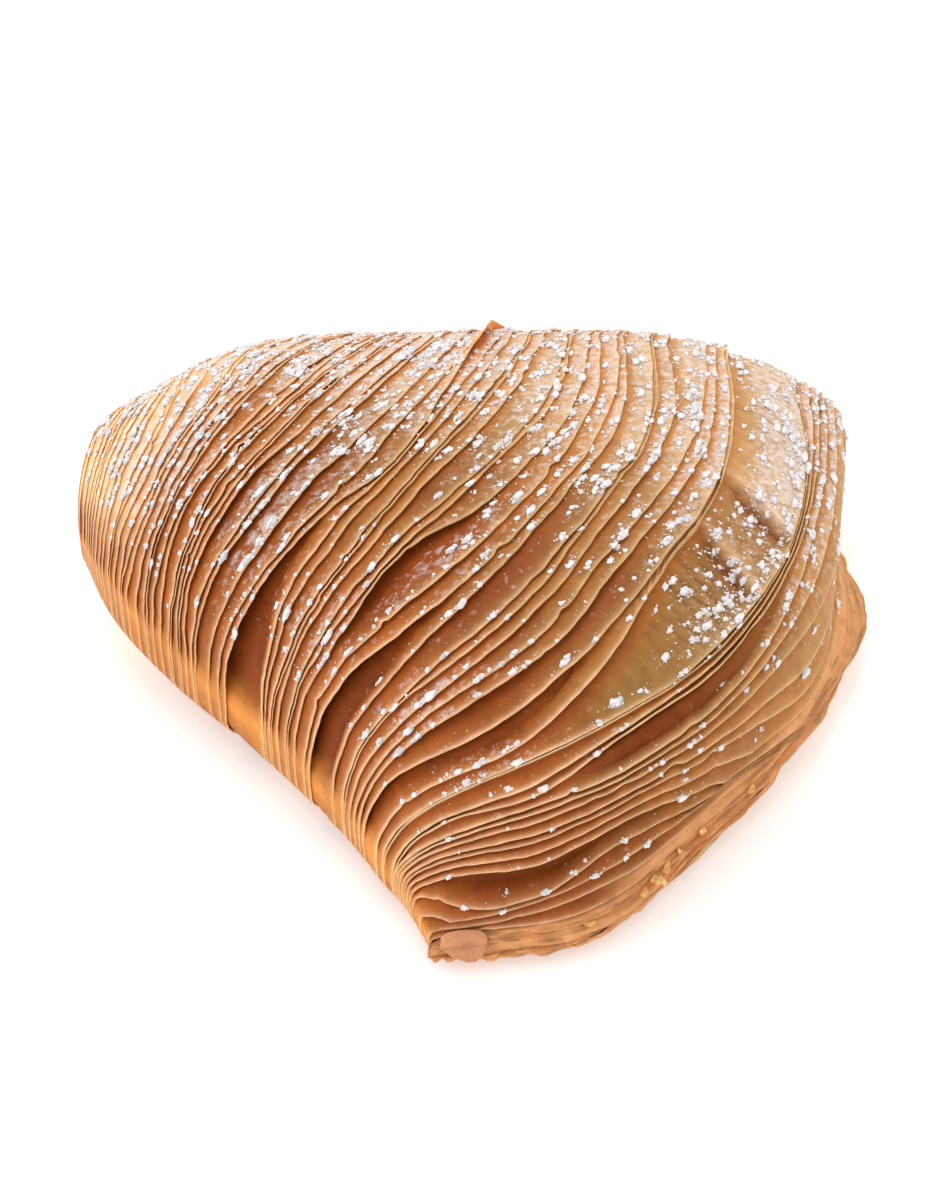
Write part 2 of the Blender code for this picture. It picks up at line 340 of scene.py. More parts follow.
PROFILE = (-0.5, -0.15, 0.06, 0.16, 0.30, 0.46, 0.62, 0.78, 0.90, 0.97)
INNER_ROWS = (8, 0)  # the rows of the profile that a narrow leaf's inner side follows
DEEP_INNER_ROWS = (9, 8, 7, 6, 5, 4, 3, 2, 0)  # and a deep leaf's
EDGE_ROWS = ((1.0, 0.12), (1.015, 0.5), (1.0, 0.88))  # places along, and parts of the thickness
OUTER, EDGE, INNER = 0.0, 1.0, -1.0  # the sides of a leaf
DEEP_LEAF = 1.6  # from this depth on a leaf is deep
TIGHT_DEPTH = 0.64
SHALLOW = 1.7  # the most a leaf without a floor sinks
DEEPEST = 3.8
FULL_FLOOR = 0.5  # with this much floor a leaf sinks the deepest
NARROW = 2.4  # the width from which on the depth grows
DEPTH_RUN = 5.0  # and over which it does
FLAT_FROM = 1.5  # the depth from which on a leaf has a flat floor
FLAT_RUN = 2.0  # and over which the floor grows
RISES = (1.3, 0.7)  # the power that a leaf rises by, and what depth adds to it
HIDDEN_FALL = 0.6  # how much deeper the hidden part runs, as a part of the depth
FLANK_DEPTH = 0.18  # at the flank itself, against the full depth
FLANK_TURN = 0.13  # the leaves part over this turn from the flank
BELLY_TURN = 0.50  # and come together again over this one under the far side
CROWN_DEPTH = 0.16  # wide leaves lie flat on the crown, with this much of the full depth
CROWN_TURNS = (0.85, 1.75)  # and come to it over these turns
WIDE_CROWN_TURNS = (1.25, 2.0)
FAN_CROWN_TURNS = (1.9, 2.4)
CROWN_TIGHT_DEPTH = 0.62  # and the same for narrow ones
CROWN_TIGHT_TURNS = (1.30, 2.00)
LOBE_DEPTH = 0.54  # and for those of the lobe
LOBE_EDGES = (0.10, 0.26)
FAN_GROUP = 24  # from here on narrow leaves lie deeper, and keep their depth on the crown
FAN_TIGHT_DEPTH = 0.90
TIP_GROUP = 26  # from here on the leaves are thicker at the tip
TIP_THICKENING = 0.7
TIP = (0.15, 0.30)  # turn and spread
WIDE_GROUP = 23  # its last leaf is the widest; both have two folds, and ribs about the lower one
FOLDS = ((2.03, 1.97), (1.81, 1.73))  # the turns where each begins and ends
FOLD_DEPTH = 3.0  # that the leaf steps down below a fold
FOLD_STEP = 0.016  # the turn that the step takes
FOLD_RUN = 0.10  # and the one over which the leaf comes back up
FOLD_HIGHLIGHT_PLACE = (-0.012, 0.012)  # place and spread of the pale line of painted highlight over a fold
FOLD_BACKING = 1.2  # how much deeper its inner side lies, to stay behind the steps
BACKED = (1.85, 0.35)  # turn and spread
RIBS = (1.68, 0.24)  # turn and spread
RIB_DEPTH = 0.34
RIB_COUNT = 140
RIB_LEAN = 0.05  # the turn by which the ribs lean from back to free edge
CURLED_GROUP = 11  # its edge curls up near the far side
CURL_HEIGHT = 2.2
CURL = (2.40, 0.32)  # turn and spread
LIFT = 0.16  # by which free edges stand up or down
LIFT_WAVES = (4, 9, 17, 29)
FLARE_FROM = 0.35  # the part of a ripple above which an edge flares
FLARE = 0.25
LAST_FLARE = 0.7  # and of a group's last leaf
FLARE_WAVES = (3, 5, 8, 12)
THICKNESS_CHANGE = 0.25
THICKNESS_WAVES = (6, 15, 27)
DENT = 0.12  # on leaves DENTED_WIDTH wide or more
DENTED_WIDTH = 4
DENT_WAVES = (13, 21, 37)


def ring_width_mm(shares_a, shares_b, turns):
    """The distance along the crust between two rings."""
    a = envelope(shares_a, turns, 0.0)
    b = envelope(shares_b, turns, 0.0)
    return np.linalg.norm(a - b, axis=-1) / MM


def parting(turns):
    """1 where the leaves part freely, and 0 at the flank and underneath."""
    return np.minimum(ramp(turns, 0.0, FLANK_TURN), 1 - ramp(turns, math.pi, math.pi + BELLY_TURN))


def crown_start(group):
    """The turns over which the leaves of a group come to lie flat on the crown."""
    if group >= FAN_GROUP:
        return FAN_CROWN_TURNS
    return WIDE_CROWN_TURNS if group == WIDE_GROUP else CROWN_TURNS


def leaf_depth(leaf, width, turns):
    """How far a leaf lies under the edge behind it: deep where it is wide, least at the flank."""
    folded = mirrored(turns)
    wide = np.maximum(width - NARROW, 0) / DEPTH_RUN
    crown = 1 - (1 - CROWN_DEPTH) * ramp(folded, *crown_start(leaf.group))
    deepest = SHALLOW + (DEEPEST - SHALLOW) * min(leaf.floor / FULL_FLOOR, 1)
    if leaf.group < FAN_GROUP:
        lobe = 1 - (1 - LOBE_DEPTH) * (1 - ramp(leaf.edge, *LOBE_EDGES))
        tight = TIGHT_DEPTH * lobe * (1 - (1 - CROWN_TIGHT_DEPTH) * ramp(folded, *CROWN_TIGHT_TURNS))
    else:
        tight = FAN_TIGHT_DEPTH
    depth = tight + (deepest - tight) * crown * (1 - np.exp(-wide * (1 + leaf.floor)))
    return depth * (FLANK_DEPTH + (1 - FLANK_DEPTH) * parting(turns))


def wide_creases(turns, along):
    """The widest leaf's folds, the pale line of painted highlight over each, and its ribs."""
    tuck = line = 0
    for start, end in FOLDS:
        below = start + (end - start) * along - turns
        tuck = np.maximum(tuck, ramp(below, 0, FOLD_STEP) * np.exp(-np.maximum(below, 0) / FOLD_RUN))
        line = np.maximum(line, bell(below, *FOLD_HIGHLIGHT_PLACE))
    uneven = 2 * np.sin(9 * turns)
    ribs = bell(turns, *RIBS) * np.sin(RIB_COUNT * (turns + RIB_LEAN * along) + uneven)
    return tuck, line, ribs


def leaf_inset(t, depth, floor):
    """Depth under the envelope: deep below the leaf behind, flat at its own free edge."""
    deep = np.clip((depth - FLAT_FROM) / FLAT_RUN, 0, 1)
    flat = floor * deep
    s = np.where(t > flat, (t - flat) / (1 - flat), 0)
    rising = depth * (1 - s) ** (RISES[0] + RISES[1] * deep)
    return np.where(t < 0, depth * (1 - HIDDEN_FALL * t), rising)


def leaf_shell(leaf, turns, rng):
    """The closed loop of one leaf's section at each turn: points, and each point's looks."""
    width = ring_width_mm(leaf.back, leaf.edge, turns)
    depth = leaf_depth(leaf, width, turns)
    lift = LIFT * ripple(rng, turns, LIFT_WAVES)
    flare = np.clip(ripple(rng, turns, FLARE_WAVES) - FLARE_FROM, 0, 1)
    lift = (lift - (LAST_FLARE if leaf.last else FLARE) * flare) * parting(turns)
    if leaf.group == CURLED_GROUP:
        lift = lift - CURL_HEIGHT * bell(turns, *CURL)
    thick = LEAF_THICKNESS * (1 + THICKNESS_CHANGE * ripple(rng, turns, THICKNESS_WAVES))
    if leaf.group >= TIP_GROUP:
        thick = thick * (1 + TIP_THICKENING * bell(mirrored(turns), *TIP))
    is_wide = leaf.group == WIDE_GROUP
    dents = DENT * np.clip(width / DENTED_WIDTH, 0, 1)
    rows = []
    for t in PROFILE:
        middle = math.sin(math.pi * np.clip(t, 0, 1))
        dent = dents * ripple(rng, turns, DENT_WAVES) * middle
        if is_wide:
            tuck, _, ribs = wide_creases(turns, t)
            dent = dent + (FOLD_DEPTH * tuck + RIB_DEPTH * ribs) * middle**0.5
        rows.append((t, leaf_inset(t, depth, leaf.floor) + lift * max(t, 0) ** 2 + dent, OUTER))
    backing = thick + (FOLD_BACKING * bell(turns, *BACKED) if is_wide else 0)
    inner_rows = DEEP_INNER_ROWS if is_wide or depth.max() > DEEP_LEAF else INNER_ROWS
    inner = [(rows[k][0], rows[k][1] + backing, INNER) for k in inner_rows]
    rows += [(t, part * thick + lift, EDGE) for t, part in EDGE_ROWS]
    rows += inner
    span = np.maximum(leaf.edge - leaf.back, EDGE_GAP)
    along, sunk, side = (np.array([row[k] + 0 * turns for row in rows]) for k in range(3))
    shares = leaf.back + span * along
    points = envelope(shares, turns, sunk)
    return points, along, sunk, side, shares, width


def torus_faces(rows, columns, first):
    """Quads of a closed loop of closed loops."""
    r, c = np.meshgrid(np.arange(rows), np.arange(columns), indexing="ij")
    here = r * columns + c
    right = r * columns + (c + 1) % columns
    up = ((r + 1) % rows) * columns + c
    up_right = ((r + 1) % rows) * columns + (c + 1) % columns
    return first + np.stack([here, up, up_right, right], axis=-1).reshape(-1, 4)


def add_object(name, data):
    thing = bpy.data.objects.new(name, data)
    bpy.context.collection.objects.link(thing)
    return thing


def normalised(vectors):
    return vectors / np.maximum(np.linalg.norm(vectors, axis=-1, keepdims=True), 1e-12)


def make_object(name, points, faces, material, attributes=None, smooth=True):
    """A mesh whose attributes are a colour or a number for each point."""
    data = bpy.data.meshes.new(name)
    data.vertices.add(len(points))
    data.vertices.foreach_set("co", np.asarray(points, np.float32).ravel())
    data.loops.add(faces.size)
    data.loops.foreach_set("vertex_index", faces.ravel().astype(np.int32))
    data.polygons.add(len(faces))
    data.polygons.foreach_set("loop_start", np.arange(len(faces), dtype=np.int32) * faces.shape[1])
    data.polygons.foreach_set("use_smooth", np.full(len(faces), smooth))
    data.update(calc_edges=True)
    for key, values in (attributes or {}).items():
        values = np.asarray(values, np.float32)
        kind, field = "FLOAT", "value"
        if values.ndim == 2:
            kind, field = "FLOAT_COLOR", "color"
            values = np.pad(values, ((0, 0), (0, 1)), constant_values=1)
        layer = data.attributes.new(key, kind, "POINT")
        layer.data.foreach_set(field, values.ravel())
    data.validate()
    data.materials.append(material)
    return add_object(name, data)


# ==== Colours of the crust, in linear light, with its painted shade, highlights and glow, and where the sugar lies ====

# The pale colours of the free edges are painted highlight, the light that the edges catch.
EDGE_HIGHLIGHT_TAN = (0.92, 0.60, 0.35)
EDGE_HIGHLIGHT_GOLD = (0.74, 0.48, 0.24)
# painted glow: the orange of the free edges at the flank
EDGE_GLOW_ORANGE = (0.94, 0.55, 0.25)
FACE_GOLD = (0.51, 0.172, 0.032)
# the lobe's paler crust, made lighter still by painted light where it faces away from the lamps
LOBE_PALE_AND_LIT = (0.95, 0.68, 0.40)
MIDDLE_GOLD = (0.37, 0.195, 0.050)
PALE_CROWN = (0.66, 0.405, 0.19)
FAN_GOLD = (0.54, 0.26, 0.080)
LOW_GOLD = (0.41, 0.118, 0.019)
TOASTED = (0.44, 0.15, 0.030)
OLIVE = (0.46, 0.27, 0.080)
# recess colours: a deeper bake with painted shade, dark where a leaf runs down under the one behind it
RECESS_BAKE_SHADE_BROWN = (0.35, 0.080, 0.010)
RECESS_BAKE_SHADE_GOLD = (0.41, 0.128, 0.020)
RECESS_BAKE_SHADE_TAN = (0.66, 0.29, 0.080)
# painted glow: the lobe's recesses lit orange, as by bounced light and light through thin leaves
LOBE_RECESS_GLOW = (0.94, 0.55, 0.25)
# painted shade: the dark of the deep grooves between leaves
GROOVE_SHADE_BROWN = (0.27, 0.057, 0.008)
OLIVE_GOLD = (0.30, 0.135, 0.028)
# painted shadow: the dark below each fold's step on the widest leaf
CREASE_SHADOW_BROWN = (0.21, 0.062, 0.009)
# painted glow: the orange of the flank, as if lit by light bounced off the floor
FLANK_GLOW_ORANGE = (0.82, 0.31, 0.055)
# the inner sides of the leaves: their own colour, made bright orange as a painted glow in the gaps
UNDERSIDE_AND_GLOW = (0.92, 0.42, 0.100)
CURL_ORANGE = (0.74, 0.30, 0.10)
LIP_ORANGE = (0.78, 0.36, 0.145)
FLAP_PINK = (0.64, 0.29, 0.14)
FLAKE_YELLOW = (0.93, 0.60, 0.22)
LEAST_WIDTH = 0.3
RECESS_PART = 0.85  # the part of a leaf's width over which its painted shade and deeper bake fade from brown to golden
RECESS_MOST = 1.8  # and no more than this
SUNK_REACH = 1.6  # the depth over which it turns brown with painted shade and a deeper bake
WIDE_WIDTHS = (3.0, 7.0)  # over which leaves come to be coloured as wide ones
WIDE_TURNS = ((0.5, 0.9), (2.1, 1.7))  # and the turns between which they are
OLIVE_GOLD_MOST = 0.9
GROOVE_WIDTHS = (2.0, 5.0)  # the same for the painted shade of the darkest recesses
GROOVE_TURNS = (1.9, 1.3)
WIDE_GROOVE_TURNS = (1.3, 0.8)
GROOVE_REACH = 4.0  # how far from the leaf behind their painted shade reaches
GROOVE_PART = 0.95  # or this part of the leaf's width, where that is more
MOTTLED = 0.6  # how far light places are toasted, and dark ones olive
MOTTLED_TURNS = (0.6, 1.1)
MOTTLED_GAIN = 10
OLIVE_SHARES = (0.2, 0.4)
TONES = 0.06  # how much lighter or darker a whole leaf may be
BLOTCHES = 0.07  # the same for places along its ring
BLOTCH_WAVES = (2, 5, 11, 19)
STREAKS = 0.05  # and for fine streaks across it
STREAK_WAVES = (83, 127, 171, 211)
GLOW = 0.45  # of the painted glow, orange as if from bounced light, at the flank, and as much again on wide leaves
GLOW_WIDTHS = (1.5, 3.0)
GLOW_SPREAD = 0.09
RIM_REACH = 0.30  # from its own edge, over which a face turns pale with painted highlight
RIM_MOST = 0.9
# how pale the band over the ribs turns, and how much painted shade their valleys get
RIB_PALE, RIB_SHADE = 0.6, 0.9
# painted shadow below each fold's step
TUCK_SHADOW = 1.5
# painted highlight along the pale line over each fold
FOLD_HIGHLIGHT_MOST = 0.8
CURL_ALONG = (0.3, 0.7)  # the curled leaf turns orange towards its edge
CURL_TURNS = (2.0, 2.25)
UNDER_CURL_TURNS = (1.8, 2.1)  # and so does what it uncovers
UNDER_CURL_MOST = 0.8
LIP_SHARES = (1.05, 1.08)  # the mouth's inside, past the far corner and under the fan
LIP_TURNS = (1.9, 2.1)
UNDER_FAN_SHARES = (1.02, 1.05)
UNDER_FAN_TURNS = (1.0, 1.3)
LIP_MOST = 0.9
BRIGHTEST = 0.95


class Tint(NamedTuple):
    """A colour that comes over a range of turns and of shares."""

    colour: tuple
    turns: tuple
    shares: tuple = (-2.0, -1.0)  # which all leaves are past
    amount: float = 1.0


FACE_TINTS = (
    Tint(MIDDLE_GOLD, (0.8, 1.2), (0.24, 0.36)),
    Tint(PALE_CROWN, (1.5, 2.1)),
    # the lobe: its paler crust with painted light
    Tint(LOBE_PALE_AND_LIT, (0.2, 0.8), (0.24, 0.10)),
    Tint(FAN_GOLD, (0.9, 1.4), (0.80, 0.92)),
    Tint(LOW_GOLD, (1.9, 1.4), (0.94, 1.02)),
)
# painted shade with a deeper bake in the recesses, lighter on the crown
RECESS_BAKE_SHADE_TINTS = (
    Tint(RECESS_BAKE_SHADE_GOLD, (0.9, 1.5)),
    Tint(RECESS_BAKE_SHADE_TAN, (1.6, 2.2), amount=0.6),
    # the lobe's recesses: painted glow
    Tint(LOBE_RECESS_GLOW, (0.2, 0.8), (0.24, 0.10)),
)
# painted highlight on the free edges, gold on part of the crown
EDGE_HIGHLIGHT_TINTS = (
    Tint(EDGE_HIGHLIGHT_GOLD, (1.0, 1.4), (0.30, 0.45)),
    # the edges at the flank turn orange: painted glow
    Tint(EDGE_GLOW_ORANGE, (0.30, 0.05)),
)


def mix(a, b, share):
    """Colour a where the share is 0, and b where it is 1."""
    return a + np.subtract(b, a) * np.clip(share, 0, 1)[..., None]


def tinted(colour, tints, turns, shares):
    for tint in tints:
        amount = tint.amount * ramp(turns, *tint.turns) * ramp(shares, *tint.shares)
        colour = mix(colour, tint.colour, amount)
    return colour


def crust_colour(leaf, along, sunk, side, shares, turns, width, tone):
    """Free edges pale with painted highlight, golden faces, brown painted shade with a deeper bake where a
    leaf runs down under the one behind it, and painted glow at the flank.
    """
    folded = np.broadcast_to(mirrored(turns), along.shape)
    width = np.maximum(width, LEAST_WIDTH)
    from_back = np.maximum(along, 0) * width
    reach = np.minimum(RECESS_PART * width, RECESS_MOST)
    # Painted shade with a deeper bake: brown near the leaf behind, and where a leaf lies sunk below the
    # envelope.
    recess_bake_shade = np.exp(-((from_back / reach) ** 1.5))
    rim = np.exp(-np.maximum(1 - along, 0) * width / RIM_REACH)
    depth = 1 - np.exp(-np.maximum(sunk, 0) / SUNK_REACH)
    wide = portion(width, *WIDE_WIDTHS) * ramp(folded, *WIDE_TURNS[0]) * ramp(folded, *WIDE_TURNS[1])
    mottled = MOTTLED * ramp(folded, *MOTTLED_TURNS)
    toasted = mottled * np.clip(MOTTLED_GAIN * tone, 0, 1)
    olive = mottled * np.clip(-MOTTLED_GAIN * tone, 0, 1) * ramp(shares, *OLIVE_SHARES)
    face = tinted(FACE_GOLD, FACE_TINTS, folded, shares)
    face = mix(face, OLIVE_GOLD, OLIVE_GOLD_MOST * wide * np.clip(4 * (1 - along), 0, 1))
    face = mix(mix(face, TOASTED, toasted), OLIVE, olive)
    # the recess colour: painted shade with a deeper bake
    deep = tinted(RECESS_BAKE_SHADE_BROWN, RECESS_BAKE_SHADE_TINTS, folded, shares)
    colour = mix(face, deep, np.maximum(recess_bake_shade, depth * (1 - wide)))
    # Painted shade in the deep grooves between bundles of leaves.
    groove_shade = portion(width, *GROOVE_WIDTHS) * ramp(folded, *GROOVE_TURNS)
    if leaf.group == WIDE_GROUP:
        tuck, line, ribs = wide_creases(folded, along)
        inside = np.sin(math.pi * along.clip(0, 1)) ** 0.5
        # Painted shadow below each fold's step, and painted shade in the ribs' valleys.
        brown = np.maximum(TUCK_SHADOW * tuck**1.5, RIB_SHADE * ribs.clip(0, 1))
        colour = mix(colour, PALE_CROWN, RIB_PALE * bell(folded, *RIBS) * along.clip(0, 1))
        colour = mix(colour, CREASE_SHADOW_BROWN, brown * inside)
        # Painted highlight: a pale line over each fold, like that on a free edge.
        colour = mix(colour, EDGE_HIGHLIGHT_TAN, FOLD_HIGHLIGHT_MOST * line * inside)
        groove_shade = groove_shade * ramp(folded, *WIDE_GROOVE_TURNS)
    groove_reach = np.maximum(GROOVE_REACH, GROOVE_PART * width)
    colour = mix(colour, GROOVE_SHADE_BROWN, groove_shade * np.exp(-((from_back / groove_reach) ** 4)))
    # Painted glow: the flank turns orange, as if lit from below by bounced light.
    glow = GLOW * (1 + ramp(width, *GLOW_WIDTHS))
    colour = mix(colour, FLANK_GLOW_ORANGE, glow * bell(folded, 0.0, GLOW_SPREAD))
    # Painted highlight: the free edge and the face just behind it turn pale, as if catching the light.
    edge = tinted(EDGE_HIGHLIGHT_TAN, EDGE_HIGHLIGHT_TINTS, folded, shares)
    colour = mix(colour, edge, RIM_MOST * rim * (side >= 0))
    if leaf.group == CURLED_GROUP:
        colour = mix(colour, CURL_ORANGE, ramp(along, *CURL_ALONG) * ramp(folded, *CURL_TURNS))
    if leaf.group == CURLED_GROUP + 1 and leaf.floor > 0:
        under_curl = UNDER_CURL_MOST * ramp(folded, *UNDER_CURL_TURNS)
        colour = mix(colour, CURL_ORANGE, under_curl * (1 - rim))
    at_lip = ramp(shares, *LIP_SHARES) * ramp(folded, *LIP_TURNS)
    under_fan = ramp(shares, *UNDER_FAN_SHARES) * ramp(folded, *UNDER_FAN_TURNS) * (1 - rim)
    colour = mix(colour, LIP_ORANGE, LIP_MOST * np.maximum(at_lip, under_fan))
    # Inner sides: their own colour, bright orange as a painted glow in the gaps between leaves.
    colour = mix(colour, FAN_GOLD if leaf.group >= FAN_GROUP else UNDERSIDE_AND_GLOW, (side < 0) * 1.0)
    return np.clip(colour * (1 + tone)[..., None], 0, BRIGHTEST)


class Dusting(NamedTuple):
    """A place on the crust where sugar has settled."""

    share: float
    turn: float
    share_spread: float
    turn_spread: float
    amount: float


DUSTINGS = [Dusting(*row) for row in (
    (0.12, 1.25, 0.10, 0.50, 1.00),
    (0.20, 1.10, 0.05, 0.40, 0.70),
    (0.35, 1.05, 0.05, 0.50, 0.75),
    (0.41, 1.50, 0.04, 0.35, 0.40),
    (0.48, 0.65, 0.05, 0.30, 0.55),
    (0.54, 1.30, 0.04, 0.40, 0.40),
    (0.65, 0.70, 0.04, 0.28, 0.65),
    (0.66, 1.60, 0.05, 0.40, 0.10),
    (0.29, 1.95, 0.08, 0.35, 0.40),
    (0.79, 0.65, 0.035, 0.25, 0.85),
    (0.80, 1.25, 0.03, 0.45, 0.45),
    (0.77, 2.10, 0.055, 0.40, 0.75),
    (0.82, 1.66, 0.02, 0.13, 0.50),
)]
CREST_DUSTING = 0.71
CREST_TURNS = (1.4, 2.2)
MOUTH_SHARES = (0.86, 0.98)  # towards the mouth the crest has MOUTH_LESS less
MOUTH_LESS = 0.6
FEWEST = 0.17
DUSTED_TURNS = ((0.22, 0.45), (3.05, 2.75))  # over which the sugar begins and ends
DUSTED_SHARES = (1.04, 0.98)
DUSTED_WIDTH = 1.5  # narrower leaves have less
DUSTED_ALONG = (0.05, 0.4)  # from the leaf behind
UPWARD = (0.1, 0.7)  # the height of a normal over which dust comes to stay
WIDE_DUST = 0.45  # the widest leaf has less below its upper fold
WIDE_DUST_TURNS = (2.1, 1.7)


def sugar_amount(shares, turns):
    """How thickly the sugar lies, from 0 to 1; none reaches the flank or the underside."""
    at_mouth = MOUTH_LESS * ramp(shares, *MOUTH_SHARES)
    amount = CREST_DUSTING * ramp(turns, *CREST_TURNS) * (1 - at_mouth) + FEWEST
    for dusting in DUSTINGS:
        across = bell(shares, dusting.share, dusting.share_spread)
        amount = amount + dusting.amount * across * bell(turns, dusting.turn, dusting.turn_spread)
    seen = ramp(turns, *DUSTED_TURNS[0]) * ramp(turns, *DUSTED_TURNS[1])
    return np.clip(amount, 0, 1) * seen * ramp(shares, *DUSTED_SHARES)


def grid_normals(points):
    """Outward normals of a leaf's grid: rows run along the leaf, columns round its ring."""
    along = np.gradient(points, axis=0)
    round_ring = np.roll(points, -1, axis=1) - np.roll(points, 1, axis=1)
    return normalised(np.cross(along, round_ring))


def make_leaves(material):
    """A piece for each group of leaves, and each leaf's outer surface for the sugar."""
    rng = np.random.default_rng(SEED)
    streak_rng = np.random.default_rng(SEED + 2)
    turns = ring_turns()
    pieces = {}
    surfaces = []
    open_rows = slice(0, len(PROFILE))
    for leaf in lay_leaves(turns, rng):
        points, along, sunk, side, shares, width = leaf_shell(leaf, turns, rng)
        tone = rng.uniform(-TONES, TONES) + BLOTCHES * ripple(rng, turns, BLOTCH_WAVES)
        tone = tone + STREAKS * ripple(streak_rng, turns, STREAK_WAVES)
        tone = np.broadcast_to(tone, along.shape)
        colour = crust_colour(leaf, along, sunk, side, shares, turns, width, tone)
        normals = grid_normals(points[open_rows])
        amount = sugar_amount(leaf.edge, turns) * np.clip(width / DUSTED_WIDTH, 0, 1)
        dust = np.zeros(along.shape)
        upward = ramp(normals[..., 2], *UPWARD)
        dust[open_rows] = amount * upward * ramp(along[open_rows], *DUSTED_ALONG)
        if leaf.group == WIDE_GROUP:
            dust *= 1 - (1 - WIDE_DUST) * ramp(turns, *WIDE_DUST_TURNS)
            dust *= 1 - wide_creases(mirrored(turns), along)[0]
        parts = pieces.setdefault(leaf.group, [])
        faces = torus_faces(len(points), len(turns), sum(len(part[0]) for part in parts))
        parts.append((points.reshape(-1, 3), faces, colour.reshape(-1, 3), dust.ravel()))
        surfaces.append(Surface(points[open_rows], normals, width, amount))
    made = []
    for number, parts in pieces.items():
        points, faces, colour, dust = (np.concatenate(part) for part in zip(*parts))
        looks = {"crust": colour, "dust": dust}
        made.append(make_object(f"leaf_group_{number + 1:02d}", points, faces, material, looks))
    return made, surfaces


# ==== The core that closes the gaps between the leaves, and comes out as the lower lip ====

CORE_SHARES = (-0.020, 0.15, 0.85, 1.00, 1.05, 1.070, 1.085)
CORE_INSETS = (0.9, 6.2, 6.2, 5.4, 3.8, 0.8, 0.0)
FAR_LIP_INSET = 3.0  # the lip ends before the far corner, behind the leaves
FAR_LIP_TURNS = (2.5, 2.9)
CORE_RINGS = 40
LIP_RINGS = 20
LIP_START = 1.04  # share from which the rings stand closer
NOSE_PART = 0.98  # the part of the lip's nose that the last ring comes to
CORE_FACETS = 220
LIP_ROUGHNESS = 0.75
LIP_WAVES = (9, 17, 31, 53)
CORE_TONES = 0.12
CORE_WAVES = (3, 7, 13, 29)
LOBE_END = (0.0, 0.1)  # shares over which the core's colour leaves the lobe's
FAN_START = (0.80, 0.95)  # and comes to that under the fan


def make_core(material):
    rng = np.random.default_rng(SEED + 1)
    turns = np.arange(CORE_FACETS) * (2 * math.pi / CORE_FACETS)
    closed = 1 + MOUTH_SHARE + NOSE_PART * NOSE_SHARE
    hidden = np.linspace(CORE_SHARES[0], LIP_START, CORE_RINGS, endpoint=False)
    shares = np.concatenate([hidden, np.linspace(LIP_START, closed, LIP_RINGS)])
    points = []
    colours = []
    for share in shares:
        inset = np.interp(share, CORE_SHARES, CORE_INSETS)
        at_lip = ramp(share, *LIP_SHARES)
        rough = LIP_ROUGHNESS * at_lip * ripple(rng, turns, LIP_WAVES)
        behind = FAR_LIP_INSET * at_lip * ramp(mirrored(turns), *FAR_LIP_TURNS)
        points.append(envelope(share, turns, inset + rough + behind))
        tone = 1 + CORE_TONES * ripple(rng, turns, CORE_WAVES)
        # The core runs from the lobe's pale crust, lightened by painted light, to the inner sides' colour
        # with its painted glow.
        colour = mix(LOBE_PALE_AND_LIT, UNDERSIDE_AND_GLOW, ramp(share, *LOBE_END))
        colour = mix(mix(colour, FACE_GOLD, ramp(share, *FAN_START)), LIP_ORANGE, at_lip)
        colours.append(colour[None, :] * tone[:, None])
    points = np.concatenate(points)
    sides = torus_faces(len(shares), CORE_FACETS, 0)[:-CORE_FACETS, [0, 3, 2, 1]]
    k = np.arange(1, CORE_FACETS // 2 - 1)
    cap = np.stack([k, k + 1, CORE_FACETS - k - 1, CORE_FACETS - k], axis=-1)
    far_cap = cap[:, ::-1] + (len(shares) - 1) * CORE_FACETS
    faces = np.concatenate([sides, cap, far_cap])
    return make_object("inner_crust", points, faces, material, {"crust": np.concatenate(colours)})


# ==== Scraps: the flap that closes the tip, and loose flakes on the lip ====

class Scrap(NamedTuple):
    """A loose piece of crust on the envelope: its middle, half sizes and thickness."""

    share: float
    turn: float
    along: float  # half its length along the leaves, as a share
    across: float  # half its width round the ring, as a turn
    lean: float  # how far its outline leans, as a part of its size
    outset: float  # height above the envelope
    tilt: float  # how much its outer end stands up
    thickness: float


FLAP = Scrap(1.084, 0.450, 0.044, 0.150, 0.25, 0.55, 0.5, 1.1)
FLAKE_THICKNESS = 0.22
FLAKES = [Scrap(*row, FLAKE_THICKNESS) for row in (
    (1.108, 1.300, 0.014, 0.022, 0.5, 0.4, 0.9),
    (1.102, 1.350, 0.010, 0.016, -0.6, 0.4, 0.6),
    (1.096, 1.420, 0.012, 0.014, 0.8, 0.3, 0.5),
    (1.112, 1.240, 0.008, 0.016, -0.3, 0.3, 0.5),
    (1.094, 1.520, 0.010, 0.014, 0.4, 0.3, 0.4),
    (1.106, 1.020, 0.007, 0.022, 0.3, 0.3, 0.4),
    (1.100, 1.720, 0.009, 0.012, -0.5, 0.3, 0.5),
)]
SCRAP_STEPS = 16


def scrap_points(scrap, ragged, rng):
    """A scrap's two faces: a rounded or ragged patch, thinned to its outline."""
    grid = np.linspace(-1, 1, SCRAP_STEPS)
    p, q = np.meshgrid(grid, grid)
    farthest = np.maximum(np.maximum(abs(p), abs(q)), 1e-9)
    squareness = (np.abs(p) ** 3 + np.abs(q) ** 3) ** (1 / 3) / farthest
    bearing = np.arctan2(q, p)
    outline = 1 + ragged * ripple(rng, bearing, (3, 5, 7, 11))
    p, q = p * outline / squareness, q * outline / squareness
    shares = scrap.share + scrap.along * (q + scrap.lean * p)
    turns = scrap.turn + scrap.across * (p + 0.3 * scrap.lean * q)
    to_outline = farthest**6
    bumps = 0.15 * np.sin(5 * p + 2 * q) * np.cos(4 * q - p)
    middle = -scrap.outset - scrap.tilt * (q + 1) / 2 + bumps
    half = scrap.thickness * (1 - 0.85 * to_outline) / 2
    outer = envelope(shares, turns, middle - half)
    inner = envelope(shares, turns, middle + half)
    return np.concatenate([outer.reshape(-1, 3), inner.reshape(-1, 3)])


